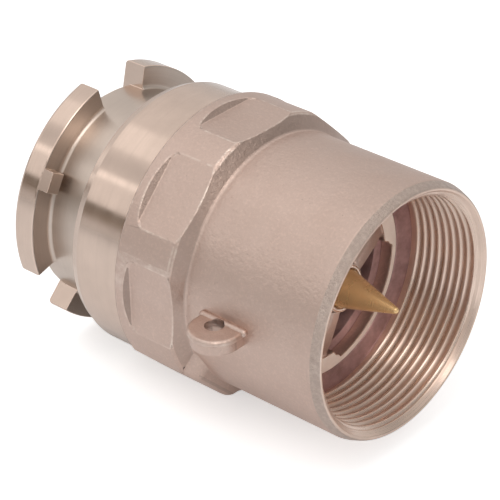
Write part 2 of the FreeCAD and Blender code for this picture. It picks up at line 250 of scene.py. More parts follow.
def stretch(*factors):
    """Scales what is selected about the origin."""
    bpy.ops.transform.resize(value=factors, center_override=(0, 0, 0))


def round_off(width, segments):
    """Rounds the selected edges."""
    bpy.ops.mesh.bevel(offset=width * MM, segments=segments, profile=0.5, affect="EDGES")


def bends(steps, turn=math.pi / 2):
    """Sine and cosine at each step of a turn, from 0 to its end."""
    angles = [turn * index / steps for index in range(steps + 1)]
    return [(math.sin(angle), math.cos(angle)) for angle in angles]


def extrude(by):
    """Extrudes what is selected by a step in metres."""
    bpy.ops.mesh.extrude_region_move(TRANSFORM_OT_translate={"value": by})


def chain(name, points):
    """A wire through points in metres, extruded point by point and left in edit mode."""
    begin()
    bpy.ops.mesh.primitive_plane_add(size=MM, location=(0, 0, 0))
    piece = bpy.context.object
    piece.name = name
    edit_mode()
    bpy.ops.mesh.select_mode(type="VERT")
    select_all()
    bpy.ops.mesh.merge(type="CENTER")
    bpy.ops.transform.translate(value=points[0])
    for before, after in zip(points, points[1:]):
        extrude(after - before)
    return piece


def draw_profile(name, outline):
    """A wire of (depth, radius) points, left in edit mode."""
    return chain(name, [Vector((-depth * MM, 0, radius * MM)) for depth, radius in outline])


def lathe(name, outline, closed=True, steps=None):
    """A turned shape about the axis from an outline."""
    piece = draw_profile(name, outline + outline[:1] if closed else outline)
    weld()
    steps = steps or sizes().steps
    bpy.ops.mesh.spin(steps=steps, angle=2 * math.pi, center=(0, 0, 0), axis=AXIS)
    weld()
    face_outwards()
    object_mode()
    return piece


def prism(name, points, low, high):
    """A flat shape of (x, y) points, raised from low to high along Z."""
    piece = chain(name, [Vector((x * MM, y * MM, low * MM)) for x, y in points])
    select_all()
    bpy.ops.mesh.edge_face_add()
    extrude((0, 0, (high - low) * MM))
    face_outwards()
    object_mode()
    return piece


def tongue(open_end, round_end, half, corner, steps):
    """Points of a flat strip along X, with round corners at one end."""
    back = math.copysign(corner, open_end - round_end)
    side = [(open_end, -half)]
    side += [(round_end + back - back * sin, -half + corner - corner * cos)
             for sin, cos in bends(steps)]
    return side + [(x, -y) for x, y in reversed(side)]


def bar(sides, radius, length, place, turn=(0, 0, 0)):
    """A plain bar with any number of sides, centred on a place."""
    begin()
    place = [part * MM for part in place]
    bpy.ops.mesh.primitive_cylinder_add(vertices=sides, radius=radius * MM, depth=length * MM,
                                        location=place, rotation=turn)
    return settle(bpy.context.object)


def turned_copies(piece, count, first, skip=()):
    """Copies of a top piece turned about the axis, which take its place."""
    found = []
    for index in range(count):
        if index in skip:
            continue
        angle = math.radians(first + index * 360 / count)
        only(piece)
        bpy.ops.object.duplicate()
        twin = bpy.context.object
        twin.rotation_euler = (-angle, 0, 0)
        found.append(settle(twin))
    bpy.data.objects.remove(piece)
    return found


def join(pieces, name):
    begin()
    for piece in pieces:
        piece.select_set(True)
    bpy.context.view_layer.objects.active = pieces[0]
    bpy.ops.object.join()
    result = bpy.context.object
    result.name = name
    return result


def combine(piece, others, operation):
    """Boolean of a piece with others, which are used up."""
    for other in others:
        modify(piece, "BOOLEAN", operation=operation, object=other, solver="EXACT")
        bpy.data.objects.remove(other)
    return piece


def cut(piece, *others):
    return combine(piece, others, "DIFFERENCE")


def unite(piece, *others):
    return combine(piece, others, "UNION")


def soften_edges(piece, width, angle=30, segments=2, looks=()):
    """Rounds every edge sharper than an angle; looks are the piece's and its edges' finish."""
    together, degenerate = 0.00012, 0.00005
    for look in looks:
        piece.data.materials.append(finish(look))
    edit(piece)
    weld(together)
    bpy.ops.mesh.dissolve_degenerate(threshold=degenerate)
    object_mode()
    modify(piece, "BEVEL", limit_method="ANGLE", angle_limit=math.radians(angle), width=width * MM,
           segments=segments, miter_outer="MITER_ARC", use_clamp_overlap=False,
           material=len(looks) - 1)


def smooth(piece, angle=30, weighted=False):
    """Smooth shading up to an angle; weighted keeps large faces flat beside rounded edges."""
    only(piece)
    bpy.ops.object.shade_smooth_by_angle(angle=math.radians(angle))
    if weighted:
        modify(piece, "WEIGHTED_NORMAL", keep_sharp=True, weight=100)


def refinish(piece, look, test):
    """Gives another finish to the faces whose centre and normal pass a test."""
    material = finish(look)
    index = piece.data.materials.find(material.name)
    if index < 0:
        piece.data.materials.append(material)
        index = len(piece.data.materials) - 1
    for face in piece.data.polygons:
        if test(face.center / MM, face.normal):
            face.material_index = index


def radius_of(point):
    return math.hypot(point.y, point.z)


def finish_piece(piece, look, slot, body, *nodes):
    """Gives a finished piece its material and place in the frame."""
    if not piece.data.materials:
        piece.data.materials.append(finish(look))
    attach(piece, body)
    if nodes:
        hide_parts(*nodes)


# Materials


class Tree:
    """Short way to write a node tree."""

    def __init__(self, owner):
        owner.use_nodes = True
        self.tree = owner.node_tree

    def fill(self, socket, value):
        """Links a node's input to another node's output, or gives it a value."""
        if isinstance(value, bpy.types.NodeSocket):
            self.tree.links.new(value, socket)
        else:
            socket.default_value = value

    def add(self, kind, inputs=None, **settings):
        node = self.tree.nodes.new(kind)
        for key, value in settings.items():
            setattr(node, key, value)
        for key, value in (inputs or {}).items():
            self.fill(node.inputs[key], value)
        return node

    def math(self, operation, first, second=0.0):
        return self.add("ShaderNodeMath", {0: first, 1: second}, operation=operation).outputs[0]

    def spread(self, value, low, high, to_low=0.0, to_high=1.0):
        inputs = {"Value": value, "From Min": low, "From Max": high}
        inputs.update({"To Min": to_low, "To Max": to_high})
        return self.add("ShaderNodeMapRange", inputs).outputs[0]

    def mix(self, share, first, second, blend="MIX"):
        inputs = {0: share, 6: first, 7: second}
        return self.add("ShaderNodeMix", inputs, data_type="RGBA", blend_type=blend).outputs[2]


class Nodes(Tree):
    """Node tree of a new material."""

    def __init__(self, name):
        self.material = bpy.data.materials.new(name)
        super().__init__(self.material)
        self.shader = self.tree.nodes["Principled BSDF"]
        self.place = self.add("ShaderNodeTexCoord").outputs["Object"]

    def noise(self, scale, detail=3, roughness=0.5, vector=None):
        inputs = {"Vector": vector or self.place, "Scale": scale, "Detail": detail,
                  "Roughness": roughness}
        return self.add("ShaderNodeTexNoise", inputs).outputs["Fac"]

    def bump(self, height, distance, strength=1.0, normal=None):
        inputs = {"Height": height, "Distance": distance, "Strength": strength}
        if normal:
            inputs["Normal"] = normal
        return self.add("ShaderNodeBump", inputs).outputs["Normal"]

    def set(self, **inputs):
        """Fills the shader's inputs and gives back the finished material."""
        for key, value in inputs.items():
            self.fill(self.shader.inputs[key.replace("_", " ")], value)
        return self.material

    def around_axis(self, along, across):
        """Coordinates that are the same all round the axis, for tool rings."""
        parts = self.add("ShaderNodeSeparateXYZ", {0: self.place}).outputs
        squares = self.math("ADD", self.math("MULTIPLY", parts["Y"], parts["Y"]),
                            self.math("MULTIPLY", parts["Z"], parts["Z"]))
        radius = self.math("SQRT", squares)
        inputs = {0: self.math("MULTIPLY", parts["X"], along),
                  1: self.math("MULTIPLY", radius, across)}
        return self.add("ShaderNodeCombineXYZ", inputs).outputs["Vector"]

    def set_turned(self, anisotropy, **inputs):
        """Like set, with highlights drawn out across tool rings round the axis."""
        tangent = self.add("ShaderNodeTangent", direction_type="RADIAL", axis="X")
        return self.set(Anisotropic=anisotropy, Anisotropic_Rotation=0.25,
                        Tangent=tangent.outputs["Tangent"], **inputs)


def rgba(value, factor=1.0):
    return tuple(min(1.0, part * factor) for part in value) + (1.0,)


def cast_steel(name="cast_steel", lift=1.0, rough=0.44, grain_depth=0.00011, worn=0.0):
    """Blasted casting: fine grain, soft lumps, a few pits and paler high spots."""
    look = Nodes(name)
    tint = colours()
    patches = look.spread(look.noise(28, 4, 0.6), 0.3, 0.7)
    grain = look.noise(1500, 4, 0.65)
    base = look.mix(patches, rgba(tint.cast_dark, 1.08 * lift), rgba(tint.cast, lift))
    specks = look.spread(look.noise(1000, 3, 0.6), 0.5, 0.68)
    base = look.mix(look.math("MULTIPLY", specks, 0.25), base, rgba(tint.cast_dark, 1.5 * lift))
    pits = look.spread(look.noise(700, 3, 0.7), 0.32, 0.22)
    base = look.mix(look.math("MULTIPLY", pits, 0.6), base, rgba(tint.cast_dark, 0.55 * lift))
    if worn:
        base = look.mix(worn, base, rgba(tint.worn, lift))
        spots = look.spread(look.noise(600, 3, 0.7), 0.44, 0.7, 0.0, 0.9 * worn)
        base = look.mix(spots, base, rgba(tint.rubbed_and_highlight))
    rough_map = look.spread(look.noise(90, 3), 0.3, 0.7, rough - 0.05, rough + 0.06)
    normal = look.bump(look.noise(150, 2), 0.0002, 0.3)
    normal = look.bump(look.noise(480, 3, 0.6), 0.0004, 0.6, normal)
    normal = look.bump(look.math("SUBTRACT", grain, pits), grain_depth, 0.8, normal)
    return look.set(Base_Color=base, Metallic=1.0, Roughness=rough_map, Normal=normal)


def cast_edges_worn_and_highlit():
    """Edges of the casting, rubbed bright here and there: partly wear and partly painted highlight
    along the edges.
    """
    look = Nodes("cast_edges_worn_and_highlit")
    tint = colours()
    rubbed_and_highlight = look.math("MULTIPLY", look.spread(look.noise(300, 4, 0.7), 0.4, 0.62, 0.0, 0.9),
                       look.spread(look.noise(70, 2), 0.35, 0.6, 0.25, 1.0))
    grain = look.noise(1200, 3, 0.6)
    base = look.mix(rubbed_and_highlight, rgba(tint.cast, 1.02), rgba(tint.rubbed_and_highlight))
    base = look.mix(look.spread(grain, 0.3, 0.7, 0.0, 0.4), base, rgba(tint.cast_dark))
    normal = look.bump(look.noise(480, 3, 0.6), 0.0008, 0.7)
    normal = look.bump(grain, 0.0002, 0.8, normal)
    rough_map = look.spread(rubbed_and_highlight, 0, 0.8, 0.44, 0.3)
    return look.set(Base_Color=base, Metallic=1.0, Roughness=rough_map, Normal=normal)


def turned_steel(name="turned_steel", lift=1.0, rough=0.15, ring_depth=0.000006, tint=None,
                 metal=1.0, anisotropy=0.6):
    """Bright turned metal: fine tool rings round the axis, faint handling marks."""
    look = Nodes(name)
    tint = tint or colours().turned
    rings = look.noise(1.0, 4, 0.7, look.around_axis(2600, 2600))
    broad = look.noise(1.0, 2, 0.5, look.around_axis(240, 240))
    marks = look.noise(60, 3, 0.6)
    base = look.mix(look.spread(marks, 0.35, 0.7), rgba(tint, 0.94 * lift), rgba(tint, 1.05 * lift))
    base = look.mix(look.spread(rings, 0.35, 0.65, 0.0, 0.25), base, rgba(tint, 0.8 * lift))
    rough_map = look.math("ADD", look.spread(rings, 0.3, 0.7, rough - 0.03, rough + 0.04),
                          look.spread(broad, 0.3, 0.7, -0.02, 0.03))
    return look.set_turned(anisotropy, Base_Color=base, Metallic=metal, Roughness=rough_map,
                           Normal=look.bump(rings, ring_depth, 0.6))


def faced_steel(name, lift, rough, metal=1.0):
    """Faced castings: duller than turned steel, with tool chatter."""
    look = Nodes(name)
    tint = colours().guide
    rings = look.noise(1.0, 3, 0.6, look.around_axis(1800, 1800))
    patches = look.noise(70, 4, 0.6)
    shares = look.spread(patches, 0.3, 0.7)
    base = look.mix(shares, rgba(tint, 0.88 * lift), rgba(tint, 1.08 * lift))
    rough_map = look.spread(patches, 0.3, 0.7, rough - 0.05, rough + 0.06)
    normal = look.bump(look.noise(700, 3), 0.00005, 0.4)
    normal = look.bump(rings, 0.00002, 0.6, normal)
    return look.set(Base_Color=base, Metallic=metal, Roughness=rough_map, Normal=normal)


def shade_darkened_steel(name, lift, rough):
    """Steel in the depth of the bore, painted dark and brownish as the shade there, with an oily
    film.
    """
    look = Nodes(name)
    tint = colours().bore
    film = look.spread(look.noise(120, 4, 0.65), 0.35, 0.7)
    rings = look.noise(1.0, 3, 0.6, look.around_axis(1500, 1500))
    base = look.mix(film, rgba(tint, lift), rgba(tint, 1.7 * lift))
    rough_map = look.spread(film, 0, 1, rough, rough + 0.12)
    return look.set_turned(0.85, Base_Color=base, Metallic=0.65, Roughness=rough_map,
                           Normal=look.bump(rings, 0.00002, 0.6))


def brass():
    """Turned brass with a faint brown film."""
    look = Nodes("brass")
    tint = colours().brass
    rings = look.noise(1.0, 4, 0.7, look.around_axis(2200, 2200))
    film = look.spread(look.noise(80, 3, 0.5), 0.35, 0.75)
    base = look.mix(film, rgba(tint, 1.0), rgba(tint, 0.84))
    rough = look.math("ADD", look.spread(rings, 0.3, 0.7, 0.25, 0.26),
                      look.math("MULTIPLY", film, 0.06))
    return look.set_turned(0.5, Base_Color=base, Metallic=0.75, Roughness=rough,
                           Normal=look.bump(rings, 0.0000006, 0.5))


def drawn_wire():
    look = Nodes("drawn_wire")
    tint = colours().wire
    streaks = look.noise(300, 3, 0.6)
    base = look.mix(streaks, rgba(tint, 0.8), rgba(tint, 1.15))
    rough_map = look.spread(streaks, 0.3, 0.7, 0.28, 0.42)
    return look.set(Base_Color=base, Metallic=1.0, Roughness=rough_map,
                    Normal=look.bump(streaks, 0.00003, 0.5))


def soft_black(name, tint, rough):
    look = Nodes(name)
    grain = look.noise(900, 3, 0.6)
    base = look.mix(grain, rgba(tint, 0.7), rgba(tint, 1.5))
    rough_map = look.spread(grain, 0.3, 0.7, rough - 0.06, rough + 0.06)
    return look.set(Base_Color=base, Roughness=rough_map, Normal=look.bump(grain, 0.00003, 0.4))


FINISHES = {}


def finish(name):
    """One material for each finish, made when it is first used."""
    tint = colours()
    makers = {
        "cast": cast_steel,
        # Edges of the casting: partly rubbed wear and partly painted highlight
        "cast_edge_worn_and_highlit": cast_edges_worn_and_highlit,
        # Sloped end walls of the flats: a darker copy of the cast finish (lift 0.7), painted shade
        "crescent_shade": lambda: cast_steel("cast_crescent_painted_shade", lift=0.7, rough=0.5, grain_depth=0.0003),
        # Shoulder slopes and band steps facing the mouth: a darker copy of the cast finish (lift
        # 0.84), painted shade
        "shoulder": lambda: cast_steel("cast_shoulder_painted_shade", lift=0.84),
        "rim": lambda: cast_steel("rim_casting", lift=0.88, rough=0.38, grain_depth=0.0008,
                                  worn=0.3),
        "guide_cast": lambda: cast_steel("guide_casting", lift=1.1, rough=0.5),
        "turned": turned_steel,
        # Machined bevels: a brighter copy of turned steel (lift 1.15), painted highlight
        "turned_edge_painted_highlight": lambda: turned_steel("turned_edge_painted_highlight", lift=1.15, rough=0.25),
        "thread": lambda: turned_steel("thread_steel", lift=1.15, rough=0.27, ring_depth=0.00001,
                                       tint=tint.guide, metal=0.85, anisotropy=0.85),
        # Flange back face and neck groove: darker copies of turned steel, painted shade behind the
        # flange
        "flange_back_painted_shade": lambda: turned_steel("flange_back_painted_shade", lift=0.84, rough=0.35,
                                            ring_depth=0.00001, tint=tint.neck),
        "neck": lambda: turned_steel("neck_steel_painted_shade", lift=1.06, rough=0.32, ring_depth=0.00001,
                                     tint=tint.neck),
        "faced": lambda: faced_steel("faced_steel", lift=1.1, rough=0.36),
        "guide": lambda: faced_steel("guide_steel", lift=1.3, rough=0.45, metal=0.2),
        # Deep bore and inner pieces: steel darkened as painted shade, deep in the bore and on the
        # pieces seen through its windows
        "bore": lambda: shade_darkened_steel("bore_steel_painted_shade", lift=0.92, rough=0.32),
        "inner": lambda: shade_darkened_steel("inner_steel_painted_shade", lift=0.95, rough=0.4),
        "brass": brass,
        "wire": drawn_wire,
        "bush": lambda: soft_black("bush_plastic", tint.bush, rough=0.5),
        "rubber": lambda: soft_black("seal_rubber", tint.rubber, rough=0.55),
    }
    if name not in FINISHES:
        FINISHES[name] = makers[name]()
    return FINISHES[name]


# Pieces


class COUPLING_OT_cast_body(bpy.types.Operator):
    """Cast body: barrel, wrench flats, chain ear and gate pad."""

    bl_idname = "coupling.cast_body"
    bl_label = "Cast body"
    SHOULDER = 59.8
    BAND_START = 63.9
    FLAT_FOOT = 82.4
    PAD_FLAT = 5
    PAD_ANGLE = -135.6
    PAD_TOP = 52.2
    PAD_HALF = 13.7
    EAR_X = -41.4
    EAR_R = 9.8
    EAR_TOP = 4.35

    def execute(self, context):
        s = sizes()
        barrel, band, rim = s.barrel_r / MM, s.band_r / MM, s.rim_r / MM
        root = s.thread_root_r / MM
        shoulder, band_start, end = self.SHOULDER, self.BAND_START, BODY_LENGTH
        socket_end, socket_r, chamber_r, throat_r = end - 18, 45.0, 41.0, 30.0
        seat, seat_r = GUIDE_SEAT, GUIDE_R + 0.05
        body = lathe("cast_body", [
            (0.2, rim), (0.7, rim + 0.4), (3.5, barrel - 0.2), (4.4, barrel),
            (shoulder - 0.8, barrel), (shoulder + 0.3, barrel + 0.4),
            (band_start - 0.5, band - 0.7), (band_start + 0.5, band),
            (end - 0.35, band), (end, band - 0.35), (end, socket_r),
            (socket_end, socket_r), (socket_end, chamber_r), (50.2, chamber_r), (43.6, throat_r),
            (seat, throat_r), (seat, seat_r), (seat - GUIDE_THICKNESS, seat_r), (32.4, root - 1.0),
            (2.6, root), (2.2, 43.3), (0.0, root + 1.0), (0.0, rim - 0.15),
        ])
        flats = turned_copies(self.flat_cutter(s), 8, 0, skip=(self.PAD_FLAT,))
        cut(body, join(flats, "flats"), self.pad_grinder())
        unite(body, self.gate_pad(barrel))
        # The bevels get the bright edge finish: rubbed wear with painted highlight.
        soften_edges(body, 0.36, angle=13, looks=("cast", "cast_edge_worn_and_highlit"))
        body = join([body] + self.ear(barrel), "cast_body")
        smooth(body, 40, weighted=True)
        finish_piece(body, "cast", "cast_steel", BODY, "body_casting")
        self.refinish_by_place(body, barrel, band, rim, root)
        return {"FINISHED"}

    def refinish_by_place(self, body, barrel, band, rim, root):
        """Machined faces; painted shade on the slopes, the flats' end walls and deep in the bore;
        and edges that are dull, or rubbed bright with painted highlight, only in places.
        """
        near_bore = root + 1.1
        pad_reach, foot = 29, -self.FLAT_FOOT
        refinish(body, "cast", lambda p, n: radius_of(p) < barrel + 0.9 and
                 (-5 < p.x < -3.4 or -62 < p.x < -57))
        refinish(body, "cast", lambda p, n: p.x < -53 and
                 abs(math.degrees(math.atan2(p.y, p.z)) - self.PAD_ANGLE) < pad_reach)
        # Painted shade: the shoulder slopes and band steps that face the mouth get the darker copy
        # of the cast finish.
        refinish(body, "shoulder", lambda p, n: -64.5 < p.x < -59.9 and n.x > 0.4 and
                 48 < radius_of(p) < 50 or 50 < radius_of(p) < 52.9 and n.x > 0.7)
        refinish(body, "cast", lambda p, n: foot - 0.5 < p.x < foot + 0.5 and n.x > 0.02)
        # Painted shade: the flats' sloped end walls get the darker copy of the cast finish.
        refinish(body, "crescent_shade", lambda p, n: p.x < -76 and n.x > 0.6 and
                 50.8 < radius_of(p) < band)
        # The ear's outer bead gets the bright edge finish: rubbed wear with painted highlight.
        refinish(body, "cast_edge_worn_and_highlit", lambda p, n: p.y < -51 and p.z > 1.9 and radius_of(p) < 70 and
                 math.hypot(p.x - self.EAR_X, p.y + barrel + 4.6) > self.EAR_R - 0.9)
        refinish(body, "rim", lambda p, n: p.x > -3.7 and radius_of(p) > rim)
        refinish(body, "faced", lambda p, n: radius_of(p) < near_bore or p.x > -0.12)
        # Painted shade: faces deep in the bore get the dark bore finish.
        refinish(body, "bore", lambda p, n: radius_of(p) < near_bore and p.x < -31.5)

    def flat_cutter(self, s):
        """Block over one wrench flat, with a sloped and round-cornered end."""
        distance, band = s.flat_distance / MM, s.band_r / MM
        half = math.sqrt(band ** 2 - distance ** 2) + 0.3
        start, foot = self.SHOULDER + 1, self.FLAT_FOOT
        height, corner, slope = 4, 4.0, 4.4
        points = tongue(-start, -foot, half, corner, 8)
        cutter = prism("flat", points, distance, distance + height)
        middle = distance + height / 2
        edit(cutter)
        pick_vertices(cutter, lambda p: p.z > middle and p.x < -foot + corner + 0.1)
        bpy.ops.transform.translate(value=(-slope * MM, 0, 0))
        pick_vertices(cutter, lambda p: p.z > middle)
        stretch(1, 1.3, 1)
        object_mode()
        return cutter

    def pad_grinder(self):
        """Block that grinds the band flat where the gate pad runs over it."""
        half = self.PAD_HALF
        points = [(-60, -half), (-92, -half), (-92, half), (-60, half)]
        return turned_copies(prism("grinder", points, self.PAD_TOP, 56), 1, self.PAD_ANGLE)[0]

    def gate_pad(self, barrel):
        """Raised pad along the barrel, with a rounded, sloped end."""
        low, high, half = barrel - 6, self.PAD_TOP, self.PAD_HALF
        start, end = 54.5, BODY_LENGTH - 0.35
        corner, slope = 5.0, 3.6
        pad = prism("pad", tongue(-end, -start, half, corner, 12), low, high)
        edit(pad)
        pick_vertices(pad, lambda p: p.z > high - 1 and p.x > -start - corner - 0.1)
        bpy.ops.transform.translate(value=(-slope * MM, 0, 0))
        pick_vertices(pad, lambda p: p.z < low + 1)
        stretch(1, 1.5, 1)
        pick_edges(pad, lambda a, b: min(a.z, b.z) > high - 0.1 and max(a.x, b.x) > -end + 1)
        round_off(2.4, 6)
        object_mode()
        cut(pad, bar(180, barrel - 2.7, 60, (-70, 0, 0), ALONG_AXIS))
        return turned_copies(pad, 1, self.PAD_ANGLE)[0]

    def ear(self, barrel):
        """Level plate with a round outer end, its foot and a bead along the barrel."""
        radius, top, plate_thickness, low = self.EAR_R, self.EAR_TOP, 2.6, -2.0
        centre_x, centre_y, inner = self.EAR_X, -(barrel + 4.6), -(barrel - 2)
        points = [(centre_x - radius, inner), (centre_x - radius, centre_y)]
        points += [(centre_x - radius * cos, centre_y - radius * sin)
                   for sin, cos in bends(32, math.pi)[1:-1]]
        points += [(centre_x + radius, centre_y), (centre_x + radius, inner)]
        plate = prism("ear", points, top - plate_thickness, top)
        narrow = [(centre_x + (x - centre_x) * 0.92, y + 0.8) for x, y in points]
        foot = prism("ear_foot", narrow, low, top - plate_thickness + 0.4)
        for part, width in ((plate, 1.25), (foot, 0.7)):
            edit(part)
            pick_edges(part, lambda a, b: abs(a.z - b.z) < 0.1 and min(a.y, b.y) < -(barrel - 1))
            round_off(width, 8)
            object_mode()
        bead_r, reach = 1.5, radius - 0.6
        outline = [(-centre_x - reach - bead_r * cos, bead_r * sin) for sin, cos in bends(8)]
        outline += [(-2 * centre_x - depth, height) for depth, height in reversed(outline)]
        bead = lathe("ear_bar", outline, closed=False, steps=48)
        bead.location = (0, -(barrel + 0.5) * MM, (top - 0.7) * MM)
        parts = [cut(part, self.ear_hole(barrel)) for part in (plate, foot, settle(bead))]
        for part in parts:
            part.data.materials.clear()
            part.data.materials.append(finish("cast"))
        return parts

    def ear_hole(self, barrel):
        """Round hole with a small nick on the barrel's side."""
        hole = bar(48, 3.5, 24, (-42.3, -(barrel + 4.1), -5))
        return unite(hole, bar(4, 1.5, 6, (-41, -(barrel + 1.9), 4)))


class COUPLING_OT_pipe_thread(bpy.types.Operator):
    """Tapered pipe thread's ridges inside the mouth."""

    bl_idname = "coupling.pipe_thread"
    bl_label = "Pipe thread"

    def execute(self, context):
        s = sizes()
        pitch, root, crest = s.thread_pitch / MM, s.thread_root_r / MM, s.thread_crest_r / MM
        first, wall, samples, edge = -2.6, root + 0.7, 12, 0.01
        turns = (s.thread_length / MM + 0.4 - first) / pitch - 1
        profile = [(first + edge * pitch, wall)]
        for index in range(samples + 1):
            share = index / samples
            ridge = (0.5 - 0.5 * math.cos(2 * math.pi * share)) ** 0.55
            profile.append((first + (edge + (1 - 2 * edge) * share) * pitch,
                            root + 0.1 - (root - crest) * ridge))
        profile.append((first + (1 - edge) * pitch, wall))
        thread = draw_profile("pipe_thread", profile + profile[:1])
        weld()
        object_mode()
        steps = round(144 * turns)
        modify(thread, "SCREW", axis="X", angle=-2 * math.pi * turns,
               screw_offset=-pitch * turns * MM, steps=steps, render_steps=steps)
        modify(thread, "SIMPLE_DEFORM", deform_method="TAPER", deform_axis="X",
               factor=(turns + 1) * pitch / 32 / root)
        edit(thread)
        select_all()
        bpy.ops.mesh.fill_holes(sides=len(profile))
        face_outwards()
        object_mode()
        countersink = [(-5, 0), (-5, 50.4), (3.7, 41.7), (3.7, 0)]
        cut(thread, lathe("countersink", countersink, closed=False))
        smooth(thread, 50)
        finish_piece(thread, "thread", "cast_steel", BODY)
        return {"FINISHED"}


class COUPLING_OT_bayonet_nose(bpy.types.Operator):
    """Machined nose: collar, neck and three bayonet segments with stop blocks."""

    bl_idname = "coupling.bayonet_nose"
    bl_label = "Bayonet nose"

    def execute(self, context):
        s = sizes()
        start, length = BODY_LENGTH, NOSE_LENGTH
        collar, neck, flange = s.collar_r / MM, s.neck_r / MM, s.flange_r / MM
        collar_end, rear = start + 25.0, length - s.flange_thickness / MM
        spigot_end, spigot_r, bore_r = start - 17.9, 44.95, 39.0
        plate_seat, plate_r, seat_r = length - 4.2, 36.2, 31.5
        nose = lathe("nose", [
            (spigot_end, bore_r), (spigot_end, spigot_r), (start, spigot_r), (start, collar - 0.3),
            (start + 0.3, collar), (start + 21.6, collar), (collar_end, collar - 1.3),
            (collar_end, neck + 0.9), (start + 25.3, neck + 0.3), (start + 25.9, neck),
            (length - 3.9, neck - 0.3), (length, neck - 3.1), (length, seat_r + 0.3),
            (length - 0.3, seat_r), (plate_seat, seat_r), (plate_seat, plate_r),
            (collar_end, plate_r), (start + 19.0, bore_r),
        ])
        ring = self.flange_ring(rear, length, neck, flange)
        cut(ring, *turned_copies(self.gap_cutter(rear, length), 3, 0))
        unite(ring, *turned_copies(self.stop_block(rear, flange), 3, -60))
        unite(nose, ring)
        # The bevels get the brighter copy of turned steel, a painted highlight.
        soften_edges(nose, 0.22, angle=34, looks=("turned", "turned_edge_painted_highlight"))
        smooth(nose, 16, weighted=True)
        finish_piece(nose, "turned", "machined_steel", BODY, "bayonet_nose")
        # Painted shade: the groove and the flange's back face get the darker copies of turned
        # steel.
        refinish(nose, "neck", lambda p, n: -rear < p.x < -collar_end - 0.1 and
                 radius_of(p) < flange - 0.7)
        refinish(nose, "flange_back_painted_shade", lambda p, n: n.x > 0.8 and abs(p.x + rear) < 0.2 and
                 radius_of(p) > neck + 1.2)
        return {"FINISHED"}

    def flange_ring(self, rear, length, neck, flange):
        """Whole flange ring with its fillet to the neck, before the gaps."""
        fillet, foot = 1.8, neck - 0.3
        points = [(rear - fillet, neck - 1), (rear - fillet, foot)]
        points += [(rear - fillet + fillet * sin, foot + fillet * (1 - cos))
                   for sin, cos in bends(8)[1:]]
        points += [(rear, flange - 0.4), (rear + 0.4, flange), (length - 1.5, flange)]
        points += [(length - 0.5, flange - 0.4), (length, flange - 1.2)]
        points += [(length, neck - 3.4), (length - 3, neck - 3.4)]
        return lathe("flange", points)

    def gap_cutter(self, rear, length):
        """Wedge that parts two segments, with radial ends."""
        spread = math.tan(math.radians(14))
        low, high, start, end = 36.0, 54.0, rear - 7, length + 2
        points = [(-start, -1), (-end, -1), (-end, 1), (-start, 1)]
        cutter = prism("gap", points, low, high)
        edit(cutter)
        pick_vertices(cutter, lambda p: p.z < low + 1)
        stretch(1, low * spread, 1)
        pick_vertices(cutter, lambda p: p.z > high - 1)
        stretch(1, high * spread, 1)
        object_mode()
        return cutter

    def stop_block(self, rear, flange):
        """Square block behind a segment, its top level with the flange."""
        half, reach, overlap = 3.9, 4.6, 1
        back, front = -rear + reach, -rear - overlap
        points = [(back, -half), (front, -half), (front, half), (back, half)]
        return prism("stop", points, flange - 6.0, flange - 0.12)


